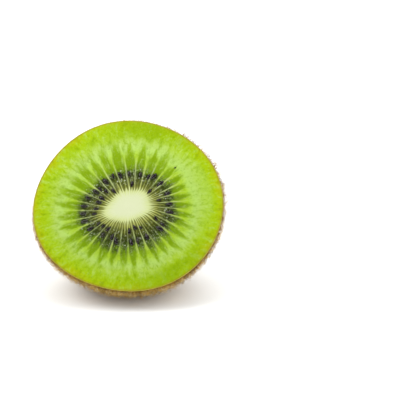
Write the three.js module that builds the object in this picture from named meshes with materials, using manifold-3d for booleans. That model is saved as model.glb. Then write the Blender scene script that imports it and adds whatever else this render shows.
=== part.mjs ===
// A kiwi fruit half, cut across and resting on its round skin with the cut face leaning back.
// Units are millimetres and +Z is up. The cut face looks to -Y and upwards, and the origin is on
// the floor under the middle of the fruit's box.
//
// The fruit is modelled in its own frame and then leaned back: there the cut lies in the plane
// Z = 0, +Z points out of the cut, +Y runs up the face and the stalk end is down the -Z axis.
// Four solids sit in each other like the tissues of the fruit: the outer flesh with its thin skin,
// the seed ring with one pointed lobe for each seed chamber, the pale core, and the dry stalk scar.

import * as THREE from "three";
import { mergeVertices } from "three/addons/utils/BufferGeometryUtils.js";
import Module from "manifold-3d";

const { acos, cos, sin, abs, PI } = Math;
const { degToRad: degrees, lerp } = THREE.MathUtils;

// The whole half.
const CUT_WIDTH = 53.2; // the long axis of the oval cut
const CUT_HEIGHT = 50.1; // its short axis
const CUT_ROLL = degrees(3); // the long axis climbs to the right
const HALF_LENGTH = 33.5; // from the cut to the stalk end
const FULLNESS = 2.2; // length profile: 2 is an ellipsoid, more is a fuller barrel
const PAST_MIDDLE = 0.28; // how far past its widest part it is cut, as a share of the way to the end
const SLANT = 0.078; // its axis leans to the left of square to the cut, by this much for its length
const FACE_ELEVATION = degrees(34); // how far the cut face looks up
const REST_FLAT_DEPTH = 0.55; // how far the soft skin gives where the half rests
const SWELLINGS = [
  { sides: 1, amount: 0.022, towards: degrees(8) },
  { sides: 3, amount: 0.009, towards: degrees(83) },
  { sides: 4, amount: 0.008, towards: degrees(22) },
];

// The core: a small oval, a little off the middle.
const CORE_WIDTH = 14.4;
const CORE_HEIGHT = 9.4;
const CORE_ROLL = degrees(20);
const CORE_MIDDLE = new THREE.Vector2(0.5, -0.5);
const CORE_LENGTH = 0.78 * HALF_LENGTH;

// The seed ring. How far its lobes reach is a share of the way from the core to the skin.
const CHAMBERS = 32;
const FIRST_CHAMBER = degrees(16);
const CROWDING = degrees(7); // the chambers stand closer together on one side of the fruit
const CROWDED_SIDE = degrees(299);
const REACH_TIP = 0.58;
const REACH_WAIST = 0.47; // half-way between a tip and a valley
const REACH_VALLEY = 0.36;
const RING_LENGTH = 0.88 * HALF_LENGTH;

// The dry stalk scar at the far end: a woody button with a rounded edge and a dished middle.
const SCAR_RADIUS = 2.6;
const SCAR_SEAT = 1.2; // how deep it sits in the flesh
const SCAR_PROUD = 0.9; // how far it stands out
const SCAR_ROUNDING = 0.6;
const SCAR_DISH = 0.4; // how deep its middle is

// Joints between tissues, and how finely the round surfaces are faceted.
const GAP = 0.3;
const MERGE_WITHIN = 1e-4; // vertices closer than this are one
const CUTTER_OVERHANG = 2.0; // how far a cutter stands out of the face that it opens
const SKIN_SEGMENTS = 84;
const SKIN_RINGS = 17;
const RING_SEGMENTS = 4 * CHAMBERS;
const RING_RINGS = 7;
const CORE_SEGMENTS = 44;
const CORE_RINGS = 6;
const SCAR_SEGMENTS = 24;

const wasm = await Module();
wasm.setup();

// The cut's outline in the direction turn: an oval with a few soft swellings.
function cutOutline(turn) {
  const across = cos(turn - CUT_ROLL) / (CUT_WIDTH / 2);
  const along = sin(turn - CUT_ROLL) / (CUT_HEIGHT / 2);
  const swelling = SWELLINGS.reduce(
    (sum, { sides, amount, towards }) => sum + amount * cos(sides * (turn - towards)),
    1,
  );
  const radius = swelling / Math.hypot(across, along);
  return new THREE.Vector2(radius * cos(turn), radius * sin(turn));
}

function coreOutline(turn) {
  const x = (CORE_WIDTH / 2) * cos(turn - CORE_ROLL);
  const y = (CORE_HEIGHT / 2) * sin(turn - CORE_ROLL);
  return new THREE.Vector2(x, y).rotateAround(new THREE.Vector2(), CORE_ROLL).add(CORE_MIDDLE);
}

// The seed ring's outline: a pointed lobe for each chamber, and a valley at each ray between them.
// The rays fan out from the core's edge to the skin.
function ringOutline(turn) {
  const count = (turn / (2 * PI)) * CHAMBERS;
  const fromTip = 2 * abs(count - Math.round(count)); // 0 at a tip, 1 in a valley
  const reach =
    fromTip < 0.5
      ? lerp(REACH_TIP, REACH_WAIST, 2 * fromTip)
      : lerp(REACH_WAIST, REACH_VALLEY, 2 * fromTip - 1);
  const ray = turn + FIRST_CHAMBER - CROWDING * sin(turn - CROWDED_SIDE);
  return coreOutline(ray).lerp(cutOutline(ray), reach);
}

// The fruit's axis leans sideways, and everything in it leans with it.
const slant = new THREE.Matrix4().set(1, 0, SLANT, 0, 0, 1, 0, 0, 0, 0, 1, 0, 0, 0, 0, 1);

// A closed body round the fruit's axis: flat at the cut, with the given outline there, and rounded
// off at depth `length`. grow thickens it all over, and overhang raises its flat end.
function roundedBody({ outline, length, segments, rings, grow = 0, overhang = 0 }) {
  const power = 2 / FULLNESS;
  const lastTurn = acos(PAST_MIDDLE ** (1 / power));
  const profile = [new THREE.Vector2(0, -length - grow)];
  for (let k = 1; k < rings; k += 1) {
    const turn = lastTurn * (k / rings);
    const share = (sin(turn) / sin(lastTurn)) ** power;
    const depth = (cos(turn) ** power - PAST_MIDDLE) / (1 - PAST_MIDDLE);
    profile.push(new THREE.Vector2(share, -(length + grow) * depth));
  }
  profile.push(new THREE.Vector2(1, 0));
  if (overhang > 0) profile.push(new THREE.Vector2(1, overhang));
  profile.push(new THREE.Vector2(0, overhang));

  const geometry = new THREE.LatheGeometry(profile, segments).rotateX(PI / 2);
  const place = geometry.getAttribute("position");
  for (let i = 0; i < place.count; i += 1) {
    const spot = new THREE.Vector2(place.getX(i), place.getY(i));
    const edge = outline(spot.angle());
    edge.setLength(edge.length() + grow).multiplyScalar(spot.length());
    place.setXY(i, edge.x, edge.y);
  }
  return geometry.applyMatrix4(slant);
}

// A three.js geometry as a solid, and back.
function solidOf(geometry) {
  const bare = geometry.clone();
  bare.deleteAttribute("normal");
  bare.deleteAttribute("uv");
  const merged = mergeVertices(bare, MERGE_WITHIN);
  return new wasm.Manifold(
    new wasm.Mesh({
      numProp: 3,
      vertProperties: new Float32Array(merged.getAttribute("position").array),
      triVerts: new Uint32Array(merged.getIndex().array),
    }),
  );
}

function geometryOf(solid) {
  const { vertProperties, triVerts } = solid.getMesh();
  const geometry = new THREE.BufferGeometry();
  geometry.setAttribute("position", new THREE.BufferAttribute(vertProperties, 3));
  geometry.setIndex(new THREE.BufferAttribute(triVerts, 1));
  geometry.computeVertexNormals();
  return geometry;
}

function tissue(name, solid, color, roughness) {
  const material = new THREE.MeshStandardMaterial({ color, roughness, metalness: 0 });
  const mesh = new THREE.Mesh(geometryOf(solid), material);
  mesh.name = name;
  return mesh;
}

const skinShape = {
  outline: cutOutline,
  length: HALF_LENGTH,
  segments: SKIN_SEGMENTS,
  rings: SKIN_RINGS,
};
const ringShape = {
  outline: ringOutline,
  length: RING_LENGTH,
  segments: RING_SEGMENTS,
  rings: RING_RINGS,
};
const coreShape = {
  outline: coreOutline,
  length: CORE_LENGTH,
  segments: CORE_SEGMENTS,
  rings: CORE_RINGS,
};

// The fruit leans back, so that its cut face looks up by FACE_ELEVATION.
const lean = new THREE.Matrix4().makeRotationX(PI / 2 - FACE_ELEVATION);

// What the floor presses flat: everything under the level that the skin gives to.
function floorCutter() {
  const leaned = roundedBody(skinShape).applyMatrix4(lean);
  leaned.computeBoundingBox();
  const level = leaned.boundingBox.min.z + REST_FLAT_DEPTH;
  const size = 4 * CUT_WIDTH;
  const block = new THREE.BoxGeometry(size, size, size).translate(0, 0, level - size / 2);
  return block.applyMatrix4(lean.clone().invert());
}

// The stalk scar, on the fruit's axis. grow thickens it for the seat that it sits in.
function scarBody(grow) {
  const bottom = -HALF_LENGTH - SCAR_PROUD - grow;
  const top = -HALF_LENGTH + SCAR_SEAT + grow;
  const edge = SCAR_RADIUS + grow;
  const profile = [
    new THREE.Vector2(0, bottom + SCAR_DISH),
    new THREE.Vector2(edge / 2, bottom + SCAR_DISH),
    new THREE.Vector2(edge - SCAR_ROUNDING, bottom),
    new THREE.Vector2(edge, bottom + SCAR_ROUNDING),
    new THREE.Vector2(edge, top),
    new THREE.Vector2(0, top),
  ];
  return new THREE.LatheGeometry(profile, SCAR_SEGMENTS).rotateX(PI / 2).applyMatrix4(slant);
}

const cutter = { grow: GAP, overhang: CUTTER_OVERHANG };
const flesh = solidOf(roundedBody(skinShape))
  .subtract(solidOf(roundedBody({ ...ringShape, ...cutter })))
  .subtract(solidOf(scarBody(GAP)))
  .subtract(solidOf(floorCutter()));
const seedRing = solidOf(roundedBody(ringShape)).subtract(
  solidOf(roundedBody({ ...coreShape, ...cutter })),
);
const core = solidOf(roundedBody(coreShape));

const fruit = new THREE.Group();
fruit.add(tissue("flesh", flesh, 0x9cc833, 0.45));
fruit.add(tissue("seed_ring", seedRing, 0x55701c, 0.4));
fruit.add(tissue("core", core, 0xe3ebbf, 0.5));
fruit.add(tissue("stalk_scar", solidOf(scarBody(0)), 0x4a3020, 0.9));
fruit.setRotationFromMatrix(lean);

// The half stands on the floor, centred on its own box.
const box = new THREE.Box3().setFromObject(fruit, true);
fruit.position.set(-(box.min.x + box.max.x) / 2, -(box.min.y + box.max.y) / 2, -box.min.z);

const kiwiHalf = new THREE.Group();
kiwiHalf.add(fruit);

export default kiwiHalf;
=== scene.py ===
import math

import bmesh
import bpy
import numpy as np
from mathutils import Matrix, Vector


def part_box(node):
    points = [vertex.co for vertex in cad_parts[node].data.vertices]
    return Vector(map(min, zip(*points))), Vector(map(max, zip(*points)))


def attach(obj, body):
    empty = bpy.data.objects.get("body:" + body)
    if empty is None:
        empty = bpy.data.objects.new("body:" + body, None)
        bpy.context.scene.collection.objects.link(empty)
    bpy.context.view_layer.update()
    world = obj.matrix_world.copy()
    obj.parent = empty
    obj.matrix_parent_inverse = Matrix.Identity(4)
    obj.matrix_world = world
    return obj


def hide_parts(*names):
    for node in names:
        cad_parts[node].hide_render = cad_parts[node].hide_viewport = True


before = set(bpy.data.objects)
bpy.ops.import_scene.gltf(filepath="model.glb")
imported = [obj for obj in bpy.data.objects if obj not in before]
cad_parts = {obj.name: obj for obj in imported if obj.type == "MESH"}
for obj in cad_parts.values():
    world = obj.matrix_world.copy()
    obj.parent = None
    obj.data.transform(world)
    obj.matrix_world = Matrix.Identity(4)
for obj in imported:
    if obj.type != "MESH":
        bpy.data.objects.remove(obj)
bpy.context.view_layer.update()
print("frame loaded:", ", ".join(sorted(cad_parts)))

# Everything is in metres. The fruit is shaped in its own frame first: the cut lies in z = 0 and
# looks along +z, y runs up the cut, and the stalk end is below it, a little to one side.
# leanBack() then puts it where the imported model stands.
mm = 0.001
fullTurn = 2 * math.pi

fruit = {
    "cutWidth": 53.2 * mm,
    "cutHeight": 50.1 * mm,
    "cutRoll": math.radians(3),
    "halfLength": 33.5 * mm,
    "fullness": 2.2,                 # 2 is an ellipsoid, more is a fuller barrel
    "pastMiddle": 0.28,              # how far past its widest part it is cut
    "slant": 0.078,                  # its axis leans to the left of square to the cut
    "faceElevation": math.radians(34),
    "swellings": ((1, 0.022, math.radians(8)), (3, 0.009, math.radians(83)),
                  (4, 0.008, math.radians(22))),
}


# helpers for nodes and colours

paintScale = 0.72        # the light is a little strong, so that the table comes out white


def tint(code):
    parts = [int(code[i:i + 2], 16) / 255 for i in (0, 2, 4)]
    linear = [c / 12.92 if c < 0.04045 else ((c + 0.055) / 1.055) ** 2.4 for c in parts]
    return [c * paintScale for c in linear] + [1.0]


def feed(tree, node, inputs):
    # each input is either linked or given a value
    for key, value in inputs.items():
        if isinstance(value, bpy.types.NodeSocket):
            tree.links.new(value, node.inputs[key])
        else:
            node.inputs[key].default_value = value


def put(tree, kind, inputs=None, **settings):
    node = tree.nodes.new(kind)
    for key, value in settings.items():
        setattr(node, key, value)
    feed(tree, node, inputs or {})
    return node


def calc(tree, operation, a, b):
    return put(tree, "ShaderNodeMath", {0: a, 1: b}, operation=operation).outputs[0]


def product(tree, a, b):
    return calc(tree, "MULTIPLY", a, b)


def combine(tree, x=0.0, y=0.0, z=0.0):
    return put(tree, "ShaderNodeCombineXYZ", {0: x, 1: y, 2: z}).outputs[0]


def spread(tree, value, fromLow, fromHigh, toLow=0.0, toHigh=1.0, kind="SMOOTHSTEP"):
    ends = {0: value, 1: fromLow, 2: fromHigh, 3: toLow, 4: toHigh}
    return put(tree, "ShaderNodeMapRange", ends, interpolation_type=kind).outputs[0]


def blendColour(tree, share, a, b, how="MIX"):
    ends = {0: share, 6: a, 7: b}
    return put(tree, "ShaderNodeMix", ends, data_type="RGBA", blend_type=how).outputs[2]


def ramp(tree, value, stops):
    node = put(tree, "ShaderNodeValToRGB", {"Fac": value})
    band = node.color_ramp
    band.elements[0].position, band.elements[0].color = stops[0][0], tint(stops[0][1])
    band.elements[1].position, band.elements[1].color = stops[-1][0], tint(stops[-1][1])
    for place, code in stops[1:-1]:
        band.elements.new(place).color = tint(code)
    return node.outputs["Color"]


def noise(tree, vector, scale, detail=2.0, roughness=0.5, distortion=0.0):
    amounts = {"Vector": vector, "Scale": scale, "Detail": detail, "Roughness": roughness,
               "Distortion": distortion}
    return put(tree, "ShaderNodeTexNoise", amounts).outputs["Fac"]


def attribute(tree, name, output="Fac"):
    return put(tree, "ShaderNodeAttribute", attribute_name=name).outputs[output]


def objectPlace(tree):
    return put(tree, "ShaderNodeTexCoord").outputs["Object"]


def newMaterial(name):
    made = bpy.data.materials.new(name)
    made.use_nodes = True
    tree = made.node_tree
    tree.nodes.clear()
    shader = tree.nodes.new("ShaderNodeBsdfPrincipled")
    put(tree, "ShaderNodeOutputMaterial", {"Surface": shader.outputs[0]})
    return made, tree, shader


def newGroup(name, kind, inputs, outputs):
    # sockets are given as their label, their kind and their default
    group = bpy.data.node_groups.new(name, kind)
    for direction, sockets in (("INPUT", inputs), ("OUTPUT", outputs)):
        for label, socketKind, value in sockets:
            socket = group.interface.new_socket(label, in_out=direction,
                                                socket_type="NodeSocket" + socketKind)
            if value is not None:
                socket.default_value = value
    return group, group.nodes.new("NodeGroupInput").outputs, group.nodes.new("NodeGroupOutput")


# helpers for shapes

def smooth(low, high, value):
    share = np.clip((value - low) / (high - low), 0, 1)
    return share * share * (3 - 2 * share)


def lattice(points, cell, seed):
    # smooth noise from -1 to 1 at points, which are rows of x, y, z
    place = np.asarray(points, float) / cell
    corner = np.floor(place).astype(np.int64)
    part = place - corner
    part = part * part * (3 - 2 * part)
    total = np.zeros(place.shape[:-1])
    for step in np.ndindex(2, 2, 2):
        cellHere = corner + np.array(step)
        # a fixed scramble of the cell's three whole numbers
        code = cellHere[..., 0] * 73856093 ^ cellHere[..., 1] * 19349663 ^ cellHere[..., 2] * 83492791
        code = (code + seed * 2654435761) & 0xFFFFFFFF
        code = ((code ^ (code >> 15)) * 2246822519) & 0xFFFFFFFF
        code = ((code ^ (code >> 13)) * 3266489917) & 0xFFFFFFFF
        value = ((code ^ (code >> 16)) & 0xFFFF) / 32767.5 - 1
        weight = np.prod(np.where(np.array(step) == 1, part, 1 - part), axis=-1)
        total += value * weight
    return total


def cutEdge(ray):
    # the cut's outline, as x and y, for an array of directions
    across = np.cos(ray - fruit["cutRoll"]) / (fruit["cutWidth"] / 2)
    along = np.sin(ray - fruit["cutRoll"]) / (fruit["cutHeight"] / 2)
    swelling = 1 + sum(a * np.cos(n * (ray - towards)) for n, a, towards in fruit["swellings"])
    radius = swelling / np.hypot(across, along)
    return np.stack([radius * np.cos(ray), radius * np.sin(ray)], -1)


def profile(step):
    # the length profile: share of the cut's outline, and depth as a share of the length
    power = 2 / fruit["fullness"]
    past = fruit["pastMiddle"]
    lastTurn = math.acos(past ** (1 / power))
    turn = (1 - step) * lastTurn
    share = (math.sin(turn) / math.sin(lastTurn)) ** power
    return share, max(math.cos(turn) ** power - past, 0.0) / (1 - past)


leanAngle = math.pi / 2 - fruit["faceElevation"]
slantMatrix = np.array([[1, 0, fruit["slant"]], [0, 1, 0], [0, 0, 1]])
leanMatrix = np.array([
    [1, 0, 0],
    [0, math.cos(leanAngle), -math.sin(leanAngle)],
    [0, math.sin(leanAngle), math.cos(leanAngle)],
]) @ slantMatrix


def ringAt(outline, step, length):
    # an outline drawn in and lowered, as the fruit's form narrows towards its end
    share, depth = profile(step)
    return np.hstack([outline * share, np.full((len(outline), 1), -depth * length)])


def standingPlace():
    # where the leaned fruit's own origin lies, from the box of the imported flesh
    low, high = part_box("flesh")
    outline = cutEdge(np.linspace(0, fullTurn, 361))
    rings = [ringAt(outline, step, fruit["halfLength"]) for step in np.linspace(0, 1, 121)]
    leaned = np.vstack(rings) @ leanMatrix.T
    middle = (leaned.min(0) + leaned.max(0)) / 2
    return np.array([(low.x + high.x) / 2 - middle[0], (low.y + high.y) / 2 - middle[1],
                     high.z - leaned[:, 2].max()])


fruitPlace = standingPlace()


def leanBack(points):
    return np.asarray(points, float) @ leanMatrix.T + fruitPlace


def addObject(name, data):
    made = bpy.data.objects.new(name, data)
    bpy.context.scene.collection.objects.link(made)
    return made


def storeValues(mesh, name, rows):
    # a number, or a vector, for each vertex
    rows = np.asarray(rows, np.float32)
    wide = rows.ndim > 1 and rows.shape[-1] == 3
    layer = mesh.attributes.new(name, "FLOAT_VECTOR" if wide else "FLOAT", "POINT")
    layer.data.foreach_set("vector" if wide else "value", rows.ravel())


def finishPiece(piece, material, slotName, *nodes):
    piece.data.materials.clear()
    piece.data.materials.append(material)
    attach(piece, "root")
    if nodes:
        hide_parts(*nodes)
    triangles = sum(len(p.vertices) - 2 for p in piece.data.polygons)
    print(f"{piece.name}: {triangles} triangles")
    return piece


def ringedBody(name, firstPole, rings, lastPole, values=None, sharpAngle=50):
    # A closed body from rings of points between two poles. values holds one array for each
    # attribute, with a row for each ring; the poles take the mean of the ring next to them.
    columns = len(rings[0])
    points = np.vstack([[firstPole], *rings, [lastPole]])
    last = len(points) - 1
    column = np.arange(columns)
    after = (column + 1) % columns
    faces = [np.stack([np.zeros(columns, int), column + 1, after + 1], -1)]
    quads = []
    for k in range(len(rings) - 1):
        here, there = 1 + k * columns, 1 + (k + 1) * columns
        quads.append(np.stack([here + column, there + column, there + after, here + after], -1))
    top = 1 + (len(rings) - 1) * columns
    faces.append(np.stack([top + column, np.full(columns, last), top + after], -1))
    listed = faces[0].tolist() + np.vstack(quads).tolist() + faces[1].tolist()

    mesh = bpy.data.meshes.new(name)
    mesh.from_pydata(points.tolist(), [], listed)
    for label, rows in (values or {}).items():
        rows = np.asarray(rows, float)
        wide = rows.reshape(rows.shape[0], columns, -1)
        storeValues(mesh, label, np.vstack([wide[0].mean(0)[None],
                                            wide.reshape(-1, wide.shape[-1]),
                                            wide[-1].mean(0)[None]]))
    mesh.shade_smooth()
    mesh.set_sharp_from_angle(angle=math.radians(sharpAngle))
    mesh.validate()
    return addObject(name, mesh)


# the camera: a long lens, a little above the table and a little to the right

camera = {
    "azimuth": math.radians(4.5),
    "elevation": math.radians(16),
    "distance": 0.38,
    "lens": 122.2,
    "asideRight": 20.6 * mm,         # it looks past the fruit, which stands left of the middle
    "asideUp": 1.05 * mm,
}


def makeCamera():
    away = Vector((
        math.sin(camera["azimuth"]) * math.cos(camera["elevation"]),
        -math.cos(camera["azimuth"]) * math.cos(camera["elevation"]),
        math.sin(camera["elevation"]),
    ))
    right = Vector((math.cos(camera["azimuth"]), math.sin(camera["azimuth"]), 0))
    up = away.cross(right)
    faceMiddle = Vector(fruitPlace)
    data = bpy.data.cameras.new("camera")
    data.lens = camera["lens"]
    data.clip_start = 0.01
    data.clip_end = 20
    eye = addObject("camera", data)
    eye.location = faceMiddle + away * camera["distance"]
    target = faceMiddle + right * camera["asideRight"] + up * camera["asideUp"]
    eye.rotation_euler = (target - eye.location).to_track_quat("-Z", "Y").to_euler()
    bpy.context.scene.camera = eye


makeCamera()
print("camera made")


# the cut face: rays fan out from the core to the skin, with a seed chamber between each two

core = {
    "width": 14.2 * mm,
    "height": 9.3 * mm,
    "roll": math.radians(20),
    "middle": (0.56 * mm, -0.55 * mm),
    "lobes": ((3, 0.34 * mm, math.radians(-32)), (5, 0.23 * mm, math.radians(-16))),
    "length": 0.78 * fruit["halfLength"],
    "dome": 0.10 * mm,
    "grainRelief": 0.016 * mm,
    "waveRelief": 0.035 * mm,
    "rows": 16,
    "shellRows": 7,
}

chambers = {
    "count": 32,
    "first": math.radians(16),
    "crowding": math.radians(7),     # they stand closer together on one side
    "crowdedSide": math.radians(299),
    "wander": math.radians(0.9),     # how unevenly the rays stand
    "tip": 0.695,                    # how far they reach, as shares of the way to the skin
    "tipSpread": 0.04,
    "lowExtra": 0.01,                # further at the bottom
    "shortBy": 0.13,                 # and less far on one side
    "shortSide": math.radians(18),
    "shortWidth": 0.6,
    "valley": 0.36,
    "length": 0.88 * fruit["halfLength"],
    "columns": 24,                   # mesh columns in one chamber
    "rows": 84,
    "shellRows": 8,
    "petalFrom": 0.24,               # the petals narrow from here to their tips
    "petalRounding": 2.4,
    "rayWidth": 0.14,
    "gelEnd": 0.28,                  # how far out the jelly round the seeds reaches
    "gelDepth": 0.26 * mm,
    "petalDepth": 0.07 * mm,
    "rayHeight": 0.06 * mm,
}

flesh = {
    "rows": 60,
    "streakRelief": 0.032 * mm,
    "grainRelief": 0.022 * mm,
    "waveRelief": 0.10 * mm,
    "edgeRounding": 0.16 * mm,
    "ripePatches": (                 # riper green near the skin, on two sides
        {"side": 1.3, "width": 0.55, "from": 0.68, "to": 0.82},
        {"side": 5.3, "width": 0.5, "from": 0.72, "to": 0.86},
    ),
}

skin = {
    "thickness": 0.12 * mm,          # at the cut
    "deepThickness": 0.62 * mm,      # further down, where nobody sees it
    "columns": 400,
    "rows": 120,
    "innerRows": 16,
    "bedRows": 100,                  # of the sheet that the hairs grow on
    "lumps": 0.20 * mm,
    "wrinkles": 0.055 * mm,
    "pores": 0.035 * mm,
    "rimWobble": 0.12 * mm,
}

innerGap = 0.05 * mm                 # between tissues, below the cut

columnCount = chambers["count"] * chambers["columns"]
turns = fullTurn * np.arange(columnCount) / columnCount
draw = np.random.default_rng(7)
wanderAt = draw.uniform(-1, 1, 2 * chambers["count"]) * chambers["wander"]
tipAt = chambers["tip"] + draw.uniform(-1, 1, chambers["count"]) * chambers["tipSpread"]
widthAt = draw.uniform(0.80, 0.96, chambers["count"])
toneAt = draw.uniform(0, 1, chambers["count"])
rayToneAt = draw.uniform(0.35, 1, chambers["count"])


def rayAt(turn):
    # direction of a ray, for an evenly spaced turn
    ends = 2 * chambers["count"]
    nodes = turn / fullTurn * ends
    low = np.floor(nodes).astype(int)
    part = nodes - low
    wander = wanderAt[low % ends] * (1 - part) + wanderAt[(low + 1) % ends] * part
    crowd = chambers["crowding"] * np.sin(turn - chambers["crowdedSide"])
    return turn + chambers["first"] - crowd + wander


def coreEdge(ray):
    x = core["width"] / 2 * np.cos(ray - core["roll"])
    y = core["height"] / 2 * np.sin(ray - core["roll"])
    c, s = math.cos(core["roll"]), math.sin(core["roll"])
    outline = np.stack([x * c - y * s, x * s + y * c], -1)
    lobes = sum(amount * np.cos(n * (ray - towards)) for n, amount, towards in core["lobes"])
    reachOut = np.linalg.norm(outline, axis=-1, keepdims=True)
    return outline * (1 + lobes[..., None] / reachOut) + np.array(core["middle"])


rays = rayAt(turns)
coreLine = coreEdge(rays)
cutLine = cutEdge(rays)
skinLine = cutLine * (1 - skin["thickness"] / np.linalg.norm(cutLine, axis=1, keepdims=True))
chamberCount = turns / fullTurn * chambers["count"]
chamberHere = np.round(chamberCount).astype(int) % chambers["count"]
rayHere = np.floor(chamberCount).astype(int) % chambers["count"]
acrossHere = 2 * (chamberCount - np.round(chamberCount))      # -1 and 1 on the rays, 0 between
lowSide = 0.5 - 0.5 * np.sin(rays)                            # 1 at the bottom of the cut


def onSide(side, width):
    # 1 in one direction, fading out round it
    apart = np.mod(rays - side + math.pi, fullTurn) - math.pi
    return np.exp(-(apart / width) ** 2)


shortHere = onSide(chambers["shortSide"], chambers["shortWidth"])
tipHere = tipAt[chamberHere] + chambers["lowExtra"] * lowSide - chambers["shortBy"] * shortHere


def faceSpots(reach):
    # places on the cut for a reach, and the same in whole millimetres for the noises
    place = coreLine + (skinLine - coreLine) * reach[:, None]
    return place, np.hstack([place / mm, np.zeros((columnCount, 1))])


def fanSpots(reach, around, along):
    # noise read at these spots is drawn out along the rays
    return np.stack([np.cos(rays) * around, np.sin(rays) * around, reach * along], -1)


def petalWidth(reach):
    # half width of the darker flesh in a chamber, as a share of half the chamber
    opening = smooth(0.015, 0.12, reach) ** 0.6
    start = chambers["petalFrom"]
    past = np.clip((reach - start) / (tipHere - start), 0, 1)
    return widthAt[chamberHere] * opening * (1 - past ** chambers["petalRounding"])


seeds = {
    "length": 2.25 * mm,
    "width": 1.15 * mm,
    "thickness": 0.85 * mm,
    "closeReach": 0.055,
    "innerReach": 0.115,
    "outerReach": 0.235,
    "rows": "io-cooob" "oocbbbbb" "obiboo-b" "bb-ob-oo",      # i inner, o outer, b both, c close
    "reachScatter": 0.02,
    "columnScatter": 5.5,
    "turnScatter": 0.2,
    "tiltScatter": 0.14,
    "smallest": 0.72,
    "largest": 1.12,
    "innerSize": 0.9,                # of the inner row, to the outer one
    "lift": 0.17 * mm,
    "segments": 14,
    "rings": 9,
    "shadeWidth": 0.85 * mm,
    "stray": {"chamber": 3, "reach": 0.55, "size": 0.32},     # a broken bit, out in the flesh
    "seed": 5,
}


def seedPlaces():
    # each seed's place on the cut, its column and reach, the way it points, and its size
    pick = np.random.default_rng(seeds["seed"])
    found = []
    for chamber, rows in enumerate(seeds["rows"]):
        wanted = {"i": ["inner"], "o": ["outer"], "b": ["inner", "outer"],
                  "c": ["close", "outer"], "-": []}[rows]
        for row in wanted:
            low = lowSide[chamber * chambers["columns"]]
            reach = seeds[row + "Reach"] + pick.normal(0, seeds["reachScatter"])
            reach += 0.04 * low * (row == "outer")
            aside = pick.uniform(-seeds["columnScatter"], seeds["columnScatter"])
            column = chamber * chambers["columns"] + int(round(aside))
            column %= columnCount
            along = skinLine[column] - coreLine[column]
            turn = math.atan2(-along[1], -along[0]) + pick.normal(0, seeds["turnScatter"])
            found.append({
                "place": coreLine[column] + along * reach,
                "column": column,
                "reach": reach,
                "turn": turn,
                "tilt": pick.normal(0, seeds["tiltScatter"]),
                "size": (pick.uniform(seeds["smallest"], seeds["largest"])
                         * (seeds["innerSize"] if row == "inner" else 1.0)),
                "sunk": pick.uniform(0, 1) ** 2,
            })
    stray = seeds["stray"]
    column = stray["chamber"] * chambers["columns"]
    place = coreLine[column] + (skinLine[column] - coreLine[column]) * stray["reach"]
    found.append({"place": place, "column": column, "reach": stray["reach"], "turn": 0.6,
                  "tilt": 0.0, "size": stray["size"], "sunk": 0.0})
    return found


seedList = seedPlaces()
seedMiddles = np.array([one["place"] for one in seedList[:-1]])


def seedShade(place):
    # a painted shadow round each seed: 1 where a seed lies, fading into the jelly round it
    near = np.zeros(len(place))
    for middle in seedMiddles:
        apart = np.linalg.norm(place - middle, axis=1) / seeds["shadeWidth"]
        near = np.maximum(near, np.exp(-apart ** 2))
    return near


def faceValues(reach):
    # what the cut is like at a reach, with one value for each column
    place, flat = faceSpots(reach)
    ragged = 0.24 * lattice(fanSpots(reach, 90, 18), 2.6, 3) + 0.12 * lattice(flat, 0.6, 4)
    width = petalWidth(reach)
    soft = 0.18 + 0.16 * smooth(0.30, 0.6, reach)
    petal = smooth(-soft, soft, width - np.abs(acrossHere) + ragged) * smooth(0.0, 0.03, width)
    gelEnd = chambers["gelEnd"] + 0.08 * lowSide + 0.04 * (toneAt[chamberHere] - 0.5)
    gelFade = smooth(gelEnd - 0.05, gelEnd + 0.09, reach + 0.05 * lattice(flat, 0.8, 5))
    gel = petal * smooth(0.04, 0.12, reach) * (1 - gelFade)

    ray = np.exp(-((1 - np.abs(acrossHere)) / chambers["rayWidth"]) ** 2)
    ray = ray * smooth(0.03, 0.10, reach) * (1 - smooth(0.28, 0.52, reach))
    ray = ray * (0.75 + 0.25 * lattice(flat, 0.7, 9)) * rayToneAt[rayHere]
    strands = turns * chambers["count"] * 2 + 1.8 * lattice(fanSpots(reach, 30, 6), 3, 6)
    fringe = (0.5 + 0.5 * np.cos(strands)) * (0.75 + 0.35 * lattice(fanSpots(reach, 30, 3), 2, 8))

    ripe = sum(onSide(patch["side"], patch["width"]) * smooth(patch["from"], patch["to"], reach)
               for patch in flesh["ripePatches"])
    ripe = ripe - shortHere * smooth(0.5, 0.6, reach) * (1 - smooth(0.8, 0.9, reach))

    height = flesh["waveRelief"] * lattice(flat, 9, 11)
    height += flesh["streakRelief"] * lattice(fanSpots(reach, 90, 10), 3, 12)
    height += flesh["grainRelief"] * lattice(flat, 0.45, 13)
    height -= chambers["gelDepth"] * gel * (0.75 + 0.25 * lattice(flat, 0.7, 14))
    height -= chambers["petalDepth"] * petal * smooth(0.1, 0.3, reach)
    height += chambers["rayHeight"] * ray
    height -= flesh["edgeRounding"] * smooth(0.975, 1.0, reach) ** 2
    return place, height, {
        "reach": reach,
        "petal": petal,
        "gel": gel,
        "rayLine": np.clip(ray, 0, 1),
        "fringe": np.clip(fringe, 0, 1),
        "lowSide": lowSide,
        "seedShade": seedShade(place),
        "ripe": np.clip(ripe, -1, 1),
        "fan": np.stack([np.cos(rays), np.sin(rays), reach], -1),
    }


def addRow(kept, values):
    for label, row in values.items():
        kept.setdefault(label, []).append(row)


def cutRows(reaches):
    # rings across the cut at these reaches, and their values
    rings = []
    kept = {}
    for reach in reaches:
        place, height, values = faceValues(reach)
        rings.append(np.hstack([place, height[:, None]]))
        addRow(kept, values)
    return rings, kept


def shellRings(outline, length, count, grow=0.0, down=True):
    # rings of a rounded shell that hangs from an outline, without the outline itself
    outward = outline / np.linalg.norm(outline, axis=1, keepdims=True)
    rings = [ringAt(outline + outward * grow, step + (1 - step) * 0.02, length)
             for step in np.linspace(0, 1, count + 1)[:-1]]
    return rings if down else rings[::-1]


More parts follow.
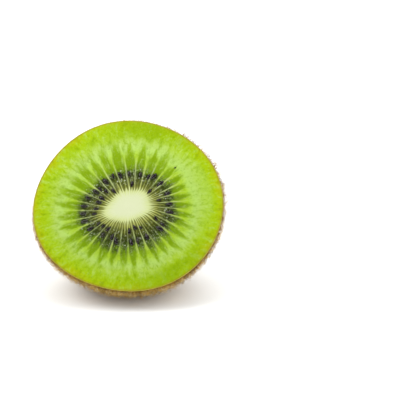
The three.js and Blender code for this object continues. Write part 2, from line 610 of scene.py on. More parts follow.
def keepEdge(kept, rows, atEnd=True):
    # shells take the values of the edge that they hang from
    for label, listed in kept.items():
        edge = [listed[-1 if atEnd else 0]] * rows
        kept[label] = listed + edge if atEnd else edge + listed


def standUp(piece):
    # lean the piece back, and let nothing go through the table
    flat = np.zeros(len(piece.data.vertices) * 3)
    piece.data.vertices.foreach_get("co", flat)
    placed = leanBack(flat.reshape(-1, 3))
    placed[:, 2] = np.maximum(placed[:, 2], 0)
    piece.data.vertices.foreach_set("co", placed.ravel())
    piece.data.update()


ringReach = tipHere + 0.035 - chambers["valley"]      # the seed ring's own outline, lobe by lobe
ringReach = chambers["valley"] + ringReach * np.clip(1 - np.abs(acrossHere), 0, 1)
ringLine = faceSpots(ringReach)[0]


def makeTissue(name, node, material, poles, inner, rings, outer, kept):
    # a tissue with its cut on top, and shells that hang from its inner and outer edge
    keepEdge(kept, len(inner), atEnd=False)
    keepEdge(kept, len(outer))
    piece = ringedBody(name, poles[0], inner + rings + outer, poles[1], kept)
    standUp(piece)
    return finishPiece(piece, material, node, node)


def makeCore(material):
    middle = np.array(core["middle"])
    rings = []
    kept = {}
    edgeHeight, edgeValues = faceValues(np.zeros(columnCount))[1:]
    for share in np.linspace(0, 1, core["rows"] + 1)[1:]:
        place = middle + (coreLine - middle) * share
        flat = np.hstack([place / mm, np.zeros((columnCount, 1))])
        grain = core["grainRelief"] * lattice(flat, 0.5, 21)
        grain = grain + core["waveRelief"] * lattice(flat, 2.5, 22)
        height = edgeHeight * share + core["dome"] * (1 - share ** 3) + grain * (1 - share ** 6)
        rings.append(np.hstack([place, height[:, None]]))
        reach = np.full(columnCount, 0.3 * (share - 1))
        fan = np.stack([np.cos(rays), np.sin(rays), reach], -1)
        addRow(kept, {**edgeValues, "reach": reach, "fan": fan})
    top = np.append(middle, rings[0][:, 2].mean())
    shell = shellRings(coreLine, core["length"], core["shellRows"], -innerGap)
    poles = top, [0, 0, -core["length"]]
    return makeTissue("core_pith", "core", material, poles, [], rings, shell, kept)


def makeSeedRing(material):
    shares = np.linspace(0, 1, chambers["rows"] + 1)
    rings, kept = cutRows(ringReach * share for share in shares)
    depth = core["length"] + innerGap
    inner = shellRings(coreLine, depth, core["shellRows"], innerGap, down=False)
    outer = shellRings(ringLine, chambers["length"], chambers["shellRows"], -innerGap)
    poles = [0, 0, -depth], [0, 0, -chambers["length"]]
    return makeTissue("seed_chambers", "seed_ring", material, poles, inner, rings, outer, kept)


def outwardAt(points):
    # the direction out of the fruit, from the slope of its rounded form
    power = fruit["fullness"]
    past = fruit["pastMiddle"]
    half = fruit["cutWidth"] / 2 / (1 - past ** power) ** (1 / power)
    deep = fruit["halfLength"] / (1 - past)
    side = np.linalg.norm(points[:, :2], axis=1, keepdims=True) + 1e-9
    sideways = (side / half) ** (power - 1) / half
    below = (past + np.clip(-points[:, 2:], 0, None) / deep) ** (power - 1)
    aim = np.hstack([points[:, :2] / side * sideways, -below / deep])
    return aim / np.linalg.norm(aim, axis=1, keepdims=True)


def insideSkin(outline, extra):
    # rings just inside the skin, thin at the cut and deeper further down
    rings = []
    for step in np.linspace(0, 1, skin["innerRows"] + 1)[:-1]:
        ring = ringAt(outline, step, fruit["halfLength"])
        thicker = (skin["deepThickness"] - skin["thickness"]) * smooth(0, 0.15, step)
        inset = skin["thickness"] + thicker + (extra if step else 0)
        rings.append(ring - outwardAt(ring) * inset)
    return rings


def makeFlesh(material):
    shares = np.linspace(0, 1, flesh["rows"] + 1) ** 0.9      # closer together towards the skin
    rings, kept = cutRows(ringReach + (1 - ringReach) * share for share in shares)
    depth = chambers["length"] + innerGap
    inner = shellRings(ringLine, depth, chambers["shellRows"], innerGap, down=False)
    outer = insideSkin(cutLine, innerGap)[1:]
    bottom = [0, 0, -fruit["halfLength"] + skin["deepThickness"] + innerGap]
    poles = [0, 0, -depth], bottom
    return makeTissue("green_flesh", "flesh", material, poles, inner, rings, outer, kept)


# the skin: a thin leathery shell

skinTurns = fullTurn * np.arange(skin["columns"]) / skin["columns"]
skinOutline = cutEdge(skinTurns)


def skinRelief(points):
    # how far the skin stands out or in, for points in the fruit's own frame
    spots = points / mm
    lumps = skin["lumps"] * (lattice(spots, 9, 31) - 0.4)
    wrinkles = skin["wrinkles"] * (lattice(spots, 1.5, 32) + 0.5 * lattice(spots, 0.8, 33))
    pits = skin["pores"] * np.minimum(lattice(spots, 0.6, 34), 0.1)
    return lumps + wrinkles + pits


def outerSkin(rows):
    rings = []
    for step in np.linspace(0, 1, rows + 1)[:-1]:
        ring = ringAt(skinOutline, step, fruit["halfLength"])
        calm = 1 - math.exp(-60 * step)                       # the cut edge stays clean
        rings.append(ring + outwardAt(ring) * (skinRelief(ring) * calm)[:, None])
    return rings


def makeSkin(material):
    outer = outerSkin(skin["rows"])
    rimDepth = [np.full(skin["columns"], -ring[:, 2].mean() / mm) for ring in outer]
    spots = outer[0] / mm
    inner = insideSkin(skinOutline, 0)[::-1]
    inner[-1][:, 2] -= flesh["edgeRounding"]
    crest = (inner[-1] + outer[0]) / 2
    outer[0][:, 2] -= skin["rimWobble"] * (1 + lattice(spots, 1.3, 35)) / 2
    crest[:, 2] = outer[0][:, 2] * 0.6
    values = {"rimDepth": [np.zeros(skin["columns"])] * (len(inner) + 1) + rimDepth}
    poleIn = [0, 0, -fruit["halfLength"] + skin["deepThickness"]]
    pole = [0, 0, -fruit["halfLength"] - skin["lumps"] * 0.4]
    piece = ringedBody("skin", poleIn, inner + [crest] + outer, pole, values, sharpAngle=60)
    standUp(piece)
    return finishPiece(piece, material, "skin")


# the colours of the cut, shared by the three tissues so that no seam shows between them

petalStops = [
    (0.00, "a8ac58"), (0.05, "727a30"), (0.10, "686e26"), (0.16, "58641e"), (0.21, "434e18"),
    (0.27, "4b6114"), (0.32, "76960e"), (0.38, "7ea208"), (0.46, "84a804"), (0.55, "8cb008"),
    (0.62, "98be1c"), (0.70, "a8cc34"), (0.80, "a6c814"), (0.90, "accb02"), (1.00, "bcc404"),
]
rayStops = [
    (0.00, "b0b468"), (0.06, "8a8e48"), (0.14, "8c9a58"), (0.21, "9cac5e"), (0.27, "a6bc50"),
    (0.34, "a8c830"), (0.42, "aed22a"), (0.50, "b8dc50"), (0.58, "bde06e"), (0.66, "b9d966"),
    (0.74, "b2d442"), (0.82, "acd01a"), (0.91, "b0cf04"), (1.00, "bec804"),
]
coreStops = [
    (0.00, "dee4bc"), (0.50, "dce3b8"), (0.61, "d9e1ad"), (0.73, "d4dd9d"), (0.84, "cad488"),
    (0.93, "aeb868"), (1.00, "8e9644"),
]


def makeCutGroup():
    group, given, out = newGroup(
        "cutFruit", "ShaderNodeTree",
        [("Streak Count", "Float", 16.0), ("Grain Scale", "Float", 1500.0),
         ("Blotch Scale", "Float", 170.0)],
        [("Color", "Color", None), ("Roughness", "Float", None),
         ("Height", "Float", None), ("Wet", "Float", None)],
    )
    place = objectPlace(group)
    reach, lowSideHere = attribute(group, "reach"), attribute(group, "lowSide")
    petal, gel, fringe, ripe = (attribute(group, name) for name in ("petal", "gel", "fringe", "ripe"))
    fan = put(group, "ShaderNodeVectorMath", {0: attribute(group, "fan", "Vector"),
              1: (1.0, 1.0, 0.42)}, operation="MULTIPLY").outputs[0]
    streak = noise(group, fan, given["Streak Count"], 5.0, 0.68, 0.35)
    glintStreaks = noise(group, fan, product(group, given["Streak Count"], 2.4), 3.0, 0.6, 0.5)
    grain = noise(group, place, given["Grain Scale"], 3.0, 0.65)
    blotch = noise(group, place, given["Blotch Scale"], 2.0, 0.5)
    cells = put(group, "ShaderNodeTexVoronoi", {"Vector": place, "Scale": 1400.0}).outputs["Distance"]

    def times(a, b):
        return product(group, a, b)

    def plus(a, b):
        return calc(group, "ADD", a, b)

    def even(value, *ends):
        return spread(group, value, *ends, kind="LINEAR")

    def paint(colour, *layers):
        # lay each colour over, where its mask is and its pattern passes from low to high
        for mask, pattern, low, high, most, code in layers:
            amount = spread(group, pattern, low, high, 0.0, most)
            if mask is not None:
                amount = times(mask, amount)
            colour = blendColour(group, amount, colour, tint(code))
        return colour

    # painted shade: the bottom's colours lie further out than the top's, so the lower part of the cut
    # comes out darker
    bottomShadeShift = times(lowSideHere, spread(group, reach, 0.50, 0.75, 1.0, 0.0))
    bottomShadeShift = times(bottomShadeShift, spread(group, reach, 0.28, 0.45, 0.05, 0.14))
    stir = plus(even(blotch, 0.3, 0.7, -0.05, 0.05), even(streak, 0.3, 0.7, 0.06, -0.06))
    stirred = plus(reach, times(stir, spread(group, reach, 0.05, 0.3)))
    petalReach = calc(group, "SUBTRACT", stirred, bottomShadeShift)
    rayReach = calc(group, "SUBTRACT", stirred, times(bottomShadeShift, 0.75))
    colour = blendColour(group, petal, ramp(group, rayReach, rayStops),
                         ramp(group, petalReach, petalStops))

    # jelly round the seeds: murky, with lighter threads in it that are painted glints drawn out along
    # the rays, a painted shadow round each seed, and small painted glints
    # the pale rays fade towards the bottom of the cut: painted shade
    rayPaint = times(spread(group, streak, 0.3, 0.6, 0.5, 1.0),
                     spread(group, lowSideHere, 0.2, 0.8, 1.0, 0.62))
    colour = paint(
        colour,
        (gel, grain, 0.53, 0.36, 0.75, "222709"),
        # painted shadow round each seed
        (gel, attribute(group, "seedShade"), 0.1, 0.8, 0.75, "1d200c"),
        # painted glints, drawn out along the rays
        (gel, glintStreaks, 0.54, 0.66, 0.7, "aab684"),
        # small painted glints
        (gel, grain, 0.60, 0.68, 0.85, "dfe6cc"),
    )
    colour = blendColour(group, times(attribute(group, "rayLine"), rayPaint), colour, tint("ccd89c"))
    # painted shade: the jelly darker towards the bottom of the cut
    colour = paint(colour, (times(gel, lowSideHere), reach, 0.10, 0.2, 0.42, "1c2208"))

    # fine strands round the core, and the core's spiky edge
    strandZone = spread(group, reach, 0.07, 0.22, 1.0, 0.0)
    colour = paint(
        colour,
        (strandZone, fringe, 0.6, 0.2, 0.65, "464d12"),
        (strandZone, fringe, 0.5, 0.9, 0.65, "bdc468"),
    )
    spiky = plus(reach, even(fringe, 0.0, 1.0, 0.035, -0.045))
    spiky = plus(spiky, even(blotch, 0.3, 0.7, -0.015, 0.015))
    spiky = plus(spiky, even(lowSideHere, 0.0, 1.0, -0.013, 0.012))
    coreColour = ramp(group, even(spiky, -0.3, 0.05, 0.0, 1.0), coreStops)
    colour = blendColour(group, spread(group, spiky, 0.025, -0.02), colour, coreColour)

    # pale fibres and cells in the outer flesh, with the pale cells partly painted glints, riper and
    # paler sides, the edge, and painted shade towards the bottom
    outer = spread(group, reach, 0.24, 0.46)
    colour = paint(
        colour,
        (outer, streak, 0.50, 0.70, 0.50, "cae678"),
        (outer, streak, 0.50, 0.30, 0.60, "7ea404"),
    )
    ripeHere = times(even(ripe, 0.0, 1.0, 0.0, 1.0), spread(group, blotch, 0.25, 0.6, 0.4, 0.85))
    colour = blendColour(group, ripeHere, colour, tint("92b604"))
    colour = blendColour(group, even(ripe, 0.0, -1.0, 0.0, 0.45), colour, tint("b4d860"))
    colour = paint(
        colour,
        # pale cells, partly painted glints
        (outer, cells, 0.14, 0.05, 0.40, "d6ec8c"),
        (outer, grain, 0.48, 0.32, 0.40, "7ea408"),
        (outer, grain, 0.56, 0.70, 0.20, "cee882"),
        (None, reach, 0.965, 1.0, 0.6, "b4a828"),
    )
    # painted shade: the lower part of the cut darkened
    shaded = times(lowSideHere, spread(group, reach, 0.28, 0.5))
    colour = blendColour(group, shaded, colour, (0.83, 0.84, 0.78, 1), "MULTIPLY")

    rough = calc(group, "SUBTRACT", even(grain, 0.3, 0.7, 0.32, 0.55), times(gel, 0.24))
    feed(group, out, {"Color": colour, "Roughness": rough, "Height": grain, "Wet": times(gel, 0.8)})
    return group


cutGroup = makeCutGroup()


def bumped(tree, height, strength, distance):
    amounts = {"Height": height, "Strength": strength, "Distance": distance}
    return put(tree, "ShaderNodeBump", amounts).outputs["Normal"]


def cutMaterial(name, bump, grainScale=1500.0):
    made, tree, shader = newMaterial(name)
    cut = put(tree, "ShaderNodeGroup", {"Grain Scale": grainScale}, node_tree=cutGroup).outputs
    feed(tree, shader, {
        "Base Color": cut["Color"], "Roughness": cut["Roughness"], "Coat Weight": cut["Wet"],
        "Normal": bumped(tree, cut["Height"], bump, 0.10 * mm), "Coat Roughness": 0.08,
        "Coat IOR": 1.35, "IOR": 1.35, "Specular IOR Level": 0.07,
    })
    return made


def skinMaterial():
    made, tree, shader = newMaterial("brown skin")
    place = objectPlace(tree)
    rimDepth = attribute(tree, "rimDepth")
    fine = noise(tree, place, 900.0, 4.0, 0.65)
    colour = ramp(tree, noise(tree, place, 90.0, 3.0, 0.55),
                  [(0.30, "a4783a"), (0.50, "be944c"), (0.72, "d4ae60")])
    colour = blendColour(tree, spread(tree, fine, 0.30, 0.52, 0.75, 0.0), colour, tint("6a4a18"))
    dots = put(tree, "ShaderNodeTexVoronoi", {"Vector": place, "Scale": 520.0}).outputs["Distance"]
    colour = blendColour(tree, spread(tree, dots, 0.10, 0.24, 0.5, 0.0), colour, tint("43300c"))
    # paler towards the cut, where the skin and hair are paler and painted light also lifts a strip that
    # lies in shade, and palest on its very rim, the cut edge, with a painted highlight on it
    for near, far, scale, low, high, least, most, code in (
        # partly painted light on a strip in shade
        (0.2, 2.2, 420.0, 0.38, 0.62, 0.1, 0.9, "d8b658"),
        # painted highlight on the pale cut edge
        (0.05, 0.45, 500.0, 0.36, 0.56, 0.55, 1.0, "e0d264"),
    ):
        amount = product(tree, spread(tree, rimDepth, near, far, 1.0, 0.0),
                         spread(tree, noise(tree, place, scale), low, high, least, most))
        colour = blendColour(tree, amount, colour, tint(code))
    feed(tree, shader, {
        "Base Color": colour, "Roughness": spread(tree, fine, 0.3, 0.7, 0.62, 0.88),
        "Normal": bumped(tree, fine, 0.7, 0.12 * mm), "IOR": 1.4, "Specular IOR Level": 0.25,
    })
    return made


makeCore(cutMaterial("pith", 0.35, 1300.0))
makeSeedRing(cutMaterial("seed chambers", 0.6, 1700.0))
makeFlesh(cutMaterial("outer flesh", 0.5))
makeSkin(skinMaterial())
print("flesh and skin made")


# helpers for Geometry Nodes

def geoRandom(tree, low, high, seed):
    node = put(tree, "FunctionNodeRandomValue", data_type="FLOAT")
    wanted = {"Min_001": low, "Max_001": high, "Seed": seed}
    for socket in node.inputs:
        if socket.identifier in wanted:
            socket.default_value = wanted[socket.identifier]
    return [out for out in node.outputs if out.enabled][0]


def namedValue(tree, name):
    return put(tree, "GeometryNodeInputNamedAttribute", {"Name": name}, data_type="FLOAT").outputs[0]


def storeValue(tree, geometry, name, value, domain):
    node = put(tree, "GeometryNodeStoreNamedAttribute", {"Geometry": geometry, "Name": name},
               data_type="FLOAT", domain=domain)
    tree.links.new(value, [i for i in node.inputs if i.name == "Value" and i.enabled][0])
    return node.outputs[0]


def positionParts(tree):
    position = put(tree, "GeometryNodeInputPosition").outputs[0]
    return put(tree, "ShaderNodeSeparateXYZ", {0: position}).outputs


def toRotation(tree, angles):
    return put(tree, "FunctionNodeEulerToRotation", {0: angles}).outputs[0]


def turnFurther(tree, rotation, angles):
    # about its own axes
    turns = {0: rotation, 1: toRotation(tree, angles)}
    return put(tree, "FunctionNodeRotateRotation", turns, rotation_space="LOCAL").outputs[0]


def finishTree(tree, geometry, given, out):
    soft = put(tree, "GeometryNodeSetShadeSmooth", {"Geometry": geometry}).outputs[0]
    dressed = {"Geometry": soft, "Material": given["Material"]}
    feed(tree, out, {"Geometry": put(tree, "GeometryNodeSetMaterial", dressed).outputs[0]})
    return tree


def grow(bed, tree, values, name):
    # run a node tree on a bed, and keep the result as a plain mesh
    modifier = bed.modifiers.new(name, "NODES")
    modifier.node_group = tree
    for item in tree.interface.items_tree:
        if item.item_type == "SOCKET" and item.in_out == "INPUT" and item.name in values:
            modifier[item.identifier] = values[item.name]
    graph = bpy.context.evaluated_depsgraph_get()
    mesh = bpy.data.meshes.new_from_object(bed.evaluated_get(graph))
    mesh.name = name
    bed.modifiers.remove(modifier)
    bpy.data.objects.remove(bed)
    return addObject(name, mesh)


def newBed(name, points, faces, values=None):
    mesh = bpy.data.meshes.new(name)
    mesh.from_pydata(np.asarray(points).tolist(), [], faces)
    for label, column in (values or {}).items():
        storeValues(mesh, label, column)
    return addObject(name, mesh)


# the seeds: small drops that point at the core, in one or two rows in each chamber

def seedSpots():
    # points for the node tree, and what each seed needs
    rows = []
    for one in seedList:
        height = faceValues(np.full(columnCount, one["reach"]))[1][one["column"]]
        lift = seeds["lift"] * (1 - one["sunk"])
        rows.append((*one["place"], height + lift, one["turn"], one["tilt"], one["size"], one["sunk"]))
    return np.array(rows)


def makeSeedTree():
    tree, given, out = newGroup(
        "seedDrops", "GeometryNodeTree",
        [("Geometry", "Geometry", None), ("Length", "Float", 2.0 * mm),
         ("Width", "Float", 1.2 * mm), ("Thickness", "Float", 0.8 * mm),
         ("Lean", "Vector", None), ("Place", "Vector", None),
         ("Material", "Material", None)],
        [("Geometry", "Geometry", None)],
    )
    ball = put(tree, "GeometryNodeMeshUVSphere", {
        "Segments": seeds["segments"], "Rings": seeds["rings"], "Radius": 1.0})
    x, y, z = positionParts(tree)
    taper = spread(tree, x, -0.6, 1.0, 1.0, 0.55)
    halves = [product(tree, given[name], 0.5) for name in ("Length", "Width", "Thickness")]
    shaped = combine(tree, product(tree, x, halves[0]),
                     product(tree, product(tree, y, taper), halves[1]),
                     product(tree, product(tree, z, taper), halves[2]))
    drop = put(tree, "GeometryNodeSetPosition", {"Geometry": ball.outputs["Mesh"],
                                                 "Position": shaped}).outputs[0]
    angles = combine(tree, y=namedValue(tree, "tilt"), z=namedValue(tree, "turn"))
    placed = put(tree, "GeometryNodeInstanceOnPoints", {
        "Points": given["Geometry"], "Instance": drop, "Rotation": toRotation(tree, angles),
        "Scale": namedValue(tree, "size"),
    }).outputs[0]
    real = put(tree, "GeometryNodeRealizeInstances", {"Geometry": placed}).outputs[0]
    leaned = put(tree, "GeometryNodeTransform", {"Geometry": real, "Translation": given["Place"],
                                                 "Rotation": given["Lean"]}).outputs[0]
    return finishTree(tree, leaned, given, out)


def seedMaterial():
    made, tree, shader = newMaterial("seed shells")
    mottle = noise(tree, objectPlace(tree), 1400.0, 3.0, 0.6)
    colour = ramp(tree, mottle, [(0.30, "0d0607"), (0.55, "1d1013"), (0.75, "3c2428")])
    veil = spread(tree, attribute(tree, "veil"), 0.3, 1.0, 0.0, 0.5)      # jelly over the sunk ones
    feed(tree, shader, {
        "Base Color": blendColour(tree, veil, colour, tint("383c20")),
        "Roughness": spread(tree, mottle, 0.3, 0.7, 0.16, 0.32),
        "Normal": bumped(tree, mottle, 0.4, 0.05 * mm), "Coat Weight": 0.5,
        "Coat Roughness": 0.06, "IOR": 1.4,
    })
    return made


def makeSeeds():
    spots = seedSpots()
    values = {"turn": spots[:, 3], "tilt": spots[:, 4], "size": spots[:, 5], "veil": spots[:, 6]}
    bed = newBed("seedBed", spots[:, :3], [], values)
    shells = seedMaterial()
    piece = grow(bed, makeSeedTree(), {
        "Length": seeds["length"], "Width": seeds["width"], "Thickness": seeds["thickness"],
        "Lean": (leanAngle, 0.0, 0.0), "Place": tuple(fruitPlace), "Material": shells,
    }, "seeds")
    return finishPiece(piece, shells, "seed")


makeSeeds()
print("seeds made")


# the fuzz: hairs that grow out of the skin and lie towards the stalk end

fuzz = {
    "fuzz_down": {
        "hairs": 9600, "length": 0.95 * mm, "spread": 0.5, "thickness": 0.047 * mm,
        "lean": math.radians(48), "bend": 0.45, "steps": 3, "from": 0.0, "to": 1.0, "seed": 11,
        "swirl": 0.9,
    },
    "fuzz_long": {
        "hairs": 8200, "length": 1.7 * mm, "spread": 0.6, "thickness": 0.052 * mm,
        "lean": math.radians(36), "bend": 0.6, "steps": 3, "from": 0.0, "to": 1.0, "seed": 12,
        "swirl": 0.9,
    },
    "fuzz_rim": {
        "hairs": 7400, "length": 2.3 * mm, "spread": 0.7, "thickness": 0.060 * mm,
        "lean": math.radians(32), "bend": 0.45, "steps": 3, "from": 0.0, "to": 0.09, "seed": 13,
        "swirl": math.pi,                # near the cut they stand all ways
    },
}


thinnest = {                         # shorter hair on one side of the cut
    "share": 0.10,
    "side": math.radians(138),
    "width": math.radians(66),
    "depth": 6 * mm,
}


def fuzzBed(name, low, high):
    # the stretch of skin that hairs grow on, as an open sheet, and how long they grow there
    first, last = (int(round(end * skin["bedRows"])) for end in (low, high))
    rings = outerSkin(skin["bedRows"])[first:last + 1]
    near = np.exp(-((skinTurns - thinnest["side"]) / thinnest["width"]) ** 2)
    growth = [1 - (1 - thinnest["share"]) * near * math.exp(ring[:, 2].mean() / thinnest["depth"])
              for ring in rings]
    points = leanBack(np.vstack(rings))
    points[:, 2] = np.maximum(points[:, 2], 0)
    count = skin["columns"]
    faces = []
    for row in range(0, (len(rings) - 1) * count, count):
        for column in range(count):
            after = (column + 1) % count
            faces.append((row + column, row + count + column, row + count + after, row + after))
    return newBed(name + "Bed", points, faces, {"growth": np.concatenate(growth)})


def bedArea(bed):
    return sum(face.area for face in bed.data.polygons)


def makeFuzzTree():
    tree, given, out = newGroup(
        "fuzzHairs", "GeometryNodeTree",
        [("Geometry", "Geometry", None), ("Density", "Float", 1.0), ("Length", "Float", 1 * mm),
         ("Thickness", "Float", 0.03 * mm), ("Lean", "Float", 0.5), ("Bend", "Float", 0.5),
         ("Swirl", "Float", 0.9), ("Shortest", "Float", 0.5), ("Steps", "Int", 3),
         ("Seed", "Int", 1), ("Comb", "Vector", None), ("Material", "Material", None)],
        [("Geometry", "Geometry", None)],
    )
    spots = put(tree, "GeometryNodeDistributePointsOnFaces", {
        "Mesh": given["Geometry"], "Density": given["Density"], "Seed": given["Seed"]}).outputs
    combed = put(tree, "FunctionNodeAlignRotationToVector", {
        "Rotation": spots["Rotation"], "Vector": given["Comb"]},
        axis="X", pivot_axis="Z").outputs[0]
    swirl = product(tree, given["Swirl"], geoRandom(tree, -1.0, 1.0, 1))
    lean = product(tree, given["Lean"], geoRandom(tree, 0.3, 1.5, 2))
    swirled = turnFurther(tree, combed, combine(tree, z=swirl))
    leaned = turnFurther(tree, swirled, combine(tree, y=lean))

    # one hair: a bent line with a three-sided, tapering tube round it
    end = combine(tree, product(tree, given["Length"], given["Bend"]),
                  z=product(tree, given["Length"], 0.9))
    line = put(tree, "GeometryNodeCurveQuadraticBezier", {
        "Resolution": given["Steps"], "Start": (0.0, 0.0, 0.0),
        "Middle": combine(tree, z=product(tree, given["Length"], 0.6)), "End": end}).outputs[0]
    factor = put(tree, "GeometryNodeSplineParameter").outputs["Factor"]
    line = storeValue(tree, line, "hairAlong", factor, "POINT")
    ring = put(tree, "GeometryNodeCurvePrimitiveCircle", {
        "Resolution": 3, "Radius": given["Thickness"]}, mode="RADIUS").outputs[0]
    hair = put(tree, "GeometryNodeCurveToMesh", {
        "Curve": line, "Profile Curve": ring, "Fill Caps": True,
        "Scale": spread(tree, factor, 0.0, 1.0, 1.0, 0.16, "LINEAR")}).outputs[0]

    size = put(tree, "ShaderNodeMapRange", {0: geoRandom(tree, 0.0, 1.0, 3), 3: given["Shortest"],
                                            4: 1.25}).outputs[0]
    size = product(tree, size, namedValue(tree, "growth"))
    hairs = put(tree, "GeometryNodeInstanceOnPoints", {
        "Points": spots["Points"], "Instance": hair, "Rotation": leaned,
        "Scale": combine(tree, size, size, size)}).outputs[0]
    hairs = storeValue(tree, hairs, "hairTone", geoRandom(tree, 0.0, 1.0, 4), "INSTANCE")
    real = put(tree, "GeometryNodeRealizeInstances", {"Geometry": hairs}).outputs[0]

    # none of them goes through the table
    x, y, z = positionParts(tree)
    above = combine(tree, x, y, calc(tree, "MAXIMUM", z, 0.0))
    kept = put(tree, "GeometryNodeSetPosition", {"Geometry": real, "Position": above}).outputs[0]
    return finishTree(tree, kept, given, out)


def fuzzMaterial():
    made, tree, shader = newMaterial("golden hair")
    tone = attribute(tree, "hairTone")
    patches = noise(tree, objectPlace(tree), 520.0, 3.0, 0.6)
    tips = ramp(tree, tone, [(0.0, "b4841e"), (0.35, "f4c056"), (0.7, "ffe192"), (1.0, "fff3c4")])
    colour = blendColour(tree, spread(tree, attribute(tree, "hairAlong"), 0.0, 0.45),
                         tint("b48a3a"), tips)
    colour = blendColour(tree, spread(tree, patches, 0.38, 0.56, 0.8, 0.0), colour, tint("845c12"))
    feed(tree, shader, {
        "Base Color": colour, "Roughness": spread(tree, tone, 0.0, 1.0, 0.5, 0.75),
        "IOR": 1.5, "Specular IOR Level": 0.12,
    })
    return made


def makeFuzz():
    tree = makeFuzzTree()
    hair = fuzzMaterial()
    comb = tuple(leanMatrix @ np.array([0.0, 0.0, -1.0]))
    for name, kind in fuzz.items():
        bed = fuzzBed(name, kind["from"], kind["to"])
        piece = grow(bed, tree, {
            "Density": kind["hairs"] / bedArea(bed), "Length": kind["length"],
            "Thickness": kind["thickness"], "Lean": kind["lean"], "Bend": kind["bend"],
            "Shortest": 1 - kind["spread"], "Steps": kind["steps"], "Seed": kind["seed"],
            "Swirl": kind["swirl"], "Comb": comb, "Material": hair,
        }, name)
        finishPiece(piece, hair, "fuzz")


makeFuzz()
print("fuzz made")


# the stalk scar at the far end, with the dried sepals round it

scar = {
    "radius": 2.6 * mm,
    "seat": 1.2 * mm,
    "proud": 0.9 * mm,
    "dish": 0.4 * mm,
    "columns": 96,
    "relief": 0.14 * mm,
}

sepals = {
    "count": 6,
    "length": 4.4 * mm,
    "width": 2.7 * mm,
    "thickness": 0.22 * mm,
    "cup": 0.55 * mm,
    "crumple": 0.30 * mm,
    "fineCrumple": 0.16 * mm,
    "rows": 22,
    "columns": 13,
    "seed": 3,
}


def makeScar(material):
    around = fullTurn * np.arange(scar["columns"]) / scar["columns"]
    circle = np.stack([np.cos(around), np.sin(around)], -1)
    bottom = -fruit["halfLength"] - scar["proud"]
    top = -fruit["halfLength"] + scar["seat"]
    # the outline: share of the radius, and level
    outline = [(share, top) for share in (0.35, 0.7, 0.95)]
    outline += [(1, top - 0.25 * mm), (1, (top + bottom) / 2), (0.99, bottom + 0.6 * mm)]
    outline += [(0.93, bottom + 0.25 * mm), (0.84, bottom + 0.05 * mm)]
    outline += [(0.74, bottom), (0.64, bottom + 0.12 * mm)]
    outline += [(share, bottom + scar["dish"]) for share in (0.54, 0.42, 0.3, 0.18, 0.08)]
    rings = []
    for share, level in outline:
        radius = scar["radius"] * share
        ring = np.hstack([radius * circle, np.full((len(around), 1), level)])
        ribs = np.hstack([circle * 9, np.full((len(around), 1), radius / mm)])
        rough = lattice(ribs, 1.6, 41) + 0.6 * lattice(ring / mm, 0.5, 42)
        seen = smooth(top - 0.1 * mm, bottom + 0.8 * mm, ring[:, 2])
        out = np.hstack([ring[:, :2] / scar["radius"] * 0.5, np.full((len(around), 1), -0.7)])
        rings.append(ring + out * (rough * seen * scar["relief"])[:, None])
    poles = [0, 0, top], [0, 0, bottom + scar["dish"]]
    piece = ringedBody("stalk_button", poles[0], rings, poles[1], sharpAngle=60)
    standUp(piece)
    return finishPiece(piece, material, "stalk_scar", "stalk_scar")


def sepalSheets(pick, number):
    # the upper and under side of a shrivelled little leaf that curls away from the scar
    rows, columns = sepals["rows"], sepals["columns"]
    towards = fullTurn * (number + pick.uniform(-0.22, 0.22)) / sepals["count"]
    length = sepals["length"] * pick.uniform(0.65, 1.15)
    curl = pick.uniform(0.5, 2.1)
    twist = pick.uniform(-0.9, 0.9)
    along, across = np.meshgrid(np.linspace(0, 1, rows), np.linspace(-1, 1, columns), indexing="ij")
    spots = np.stack([along * 6, across * 2, np.full((rows, columns), number * 9.0)], -1)
    leafWidth = sepals["width"] / 2 * (np.sin(math.pi * (0.16 + 0.80 * along)) ** 0.8)
    side = across * (leafWidth * (1 + 0.35 * lattice(spots, 0.9, 43)))
    bent = curl * along
    out = scar["radius"] * 0.86 + length * np.sin(bent) / curl
    cup = sepals["cup"] * (np.abs(across) ** 2) * (0.4 + along)
    crumple = sepals["crumple"] * lattice(spots, 1.1, 44)
    crumple = crumple + sepals["fineCrumple"] * lattice(spots, 0.5, 45)
    twisted = twist * along ** 2
    height = length * (1 - np.cos(bent)) / curl
    height = height + (cup + crumple) * np.cos(twisted) + side * np.sin(twisted)
    side = side * np.cos(twisted)
    c, s = math.cos(towards), math.sin(towards)
    sheets = []
    for thickness in (sepals["thickness"], 0):
        level = -(height + thickness * (1 - 0.6 * along)) - fruit["halfLength"] - 0.02 * mm
        sheets.append(np.stack([out * c - side * s, out * s + side * c, level], -1).reshape(-1, 3))
    return sheets


def makeSepals(material):
    pick = np.random.default_rng(sepals["seed"])
    rows, columns = sepals["rows"], sepals["columns"]
    points = []
    faces = []
    for number in range(sepals["count"]):
        points += sepalSheets(pick, number)
        base = 2 * number * rows * columns
        grid = (base + np.arange(rows * columns)).reshape(rows, columns)
        under = (grid + rows * columns).tolist()
        grid = grid.tolist()
        for i in range(rows - 1):
            for j in range(columns - 1):
                faces.append((grid[i][j], grid[i][j + 1], grid[i + 1][j + 1], grid[i + 1][j]))
                faces.append((under[i][j], under[i + 1][j], under[i + 1][j + 1], under[i][j + 1]))
        loop = [(i, 0) for i in range(rows)] + [(rows - 1, j) for j in range(1, columns)]
        loop += [(i, columns - 1) for i in range(rows - 2, -1, -1)]
        loop += [(0, j) for j in range(columns - 2, 0, -1)]
        for (i, j), (m, n) in zip(loop, loop[1:] + loop[:1]):
            faces.append((grid[i][j], grid[m][n], under[m][n], under[i][j]))
    piece = newBed("sepals", np.vstack(points), faces)
    piece.data.shade_smooth()
    standUp(piece)
    work = bmesh.new()
    work.from_mesh(piece.data)
    bmesh.ops.recalc_face_normals(work, faces=work.faces)
    work.to_mesh(piece.data)
    work.free()
    return finishPiece(piece, material, "stalk_scar")


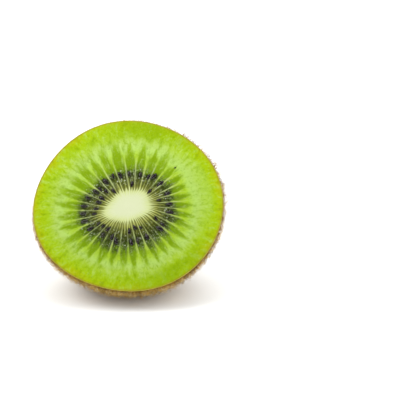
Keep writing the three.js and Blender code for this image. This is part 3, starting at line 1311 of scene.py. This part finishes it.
def woodMaterial(name, low, middle, high, scale):
    made, tree, shader = newMaterial(name)
    grain = noise(tree, objectPlace(tree), scale, 4.0, 0.65, 0.6)
    feed(tree, shader, {
        "Base Color": ramp(tree, grain, [(0.30, low), (0.50, middle), (0.72, high)]),
        "Roughness": spread(tree, grain, 0.3, 0.7, 0.65, 0.9),
        "Normal": bumped(tree, grain, 0.8, 0.15 * mm),
    })
    return made


makeScar(woodMaterial("pale dry stalk", "6b4a26", "a9824c", "cdaa70", 900.0))
makeSepals(woodMaterial("dried sepals", "1f130c", "3a261a", "65472f", 700.0))
print("stalk end made")


# the studio: a pale floor that glows a little (painted light), a white surround and soft lamps

studio = {
    "floorSize": 6.0,
    "floorGlow": 0.17,               # painted light: the table glows, lightening the shadow round the fruit, but not near where it rests
    "glowFrom": 8 * mm,              # from the middle: it starts here
    "glowTo": 24 * mm,               # and is full here
    "surround": 1.06,                # light from all round
    "mirrored": 0.10,                # what wet surfaces mirror of it
    "lamps": {
        "key lamp": {"power": 3.5, "size": 0.60, "from": (-0.60, -0.30, 0.76)},
        "fill lamp": {"power": 1.2, "size": 0.60, "from": (0.65, -0.25, 0.60)},
        "top lamp": {"power": 2.6, "size": 0.90, "from": (0.05, 0.14, 1.00)},
    },
}


def makeFloor():
    half = studio["floorSize"] / 2
    corners = [(-half, -half, 0), (half, -half, 0), (half, half, 0), (-half, half, 0)]
    floor = newBed("floor", corners, [(0, 1, 2, 3)])
    made, tree, shader = newMaterial("white table")
    place = objectPlace(tree)
    colour = blendColour(tree, noise(tree, place, 30.0), (0.90, 0.925, 0.925, 1), (0.93, 0.95, 0.955, 1))
    away = put(tree, "ShaderNodeVectorMath", {0: place}, operation="LENGTH").outputs["Value"]
    # painted light: the glow fades out towards where the fruit rests
    glow = spread(tree, away, studio["glowFrom"], studio["glowTo"], 0.0, studio["floorGlow"])
    feed(tree, shader, {"Base Color": colour, "Emission Color": colour, "Emission Strength": glow,
                        "Roughness": 0.6})
    floor.data.materials.append(made)


def makeLamp(name, power, size, spot):
    data = bpy.data.lights.new(name, "AREA")
    data.energy = power
    data.size = size
    data.shape = "DISK"
    lamp = addObject(name, data)
    lamp.location = spot
    towards = Vector((0, 0, 20 * mm)) - Vector(spot)
    lamp.rotation_euler = towards.to_track_quat("-Z", "Y").to_euler()


def makeSurround():
    world = bpy.data.worlds.new("surround")
    world.use_nodes = True
    tree = world.node_tree
    tree.nodes.clear()
    path = put(tree, "ShaderNodeLightPath").outputs
    mirrored = spread(tree, path["Is Glossy Ray"], 0.0, 1.0, studio["surround"],
                      studio["mirrored"], "LINEAR")
    strength = spread(tree, path["Is Camera Ray"], 0.0, 1.0, mirrored, 1.0, "LINEAR")
    glow = put(tree, "ShaderNodeBackground", {"Color": (1, 1, 1, 1), "Strength": strength})
    put(tree, "ShaderNodeOutputWorld", {"Surface": glow.outputs[0]})
    bpy.context.scene.world = world


makeFloor()
for lampName, lamp in studio["lamps"].items():
    makeLamp(lampName, lamp["power"], lamp["size"], lamp["from"])
makeSurround()
bpy.context.scene.view_settings.view_transform = "Standard"
print("studio made")
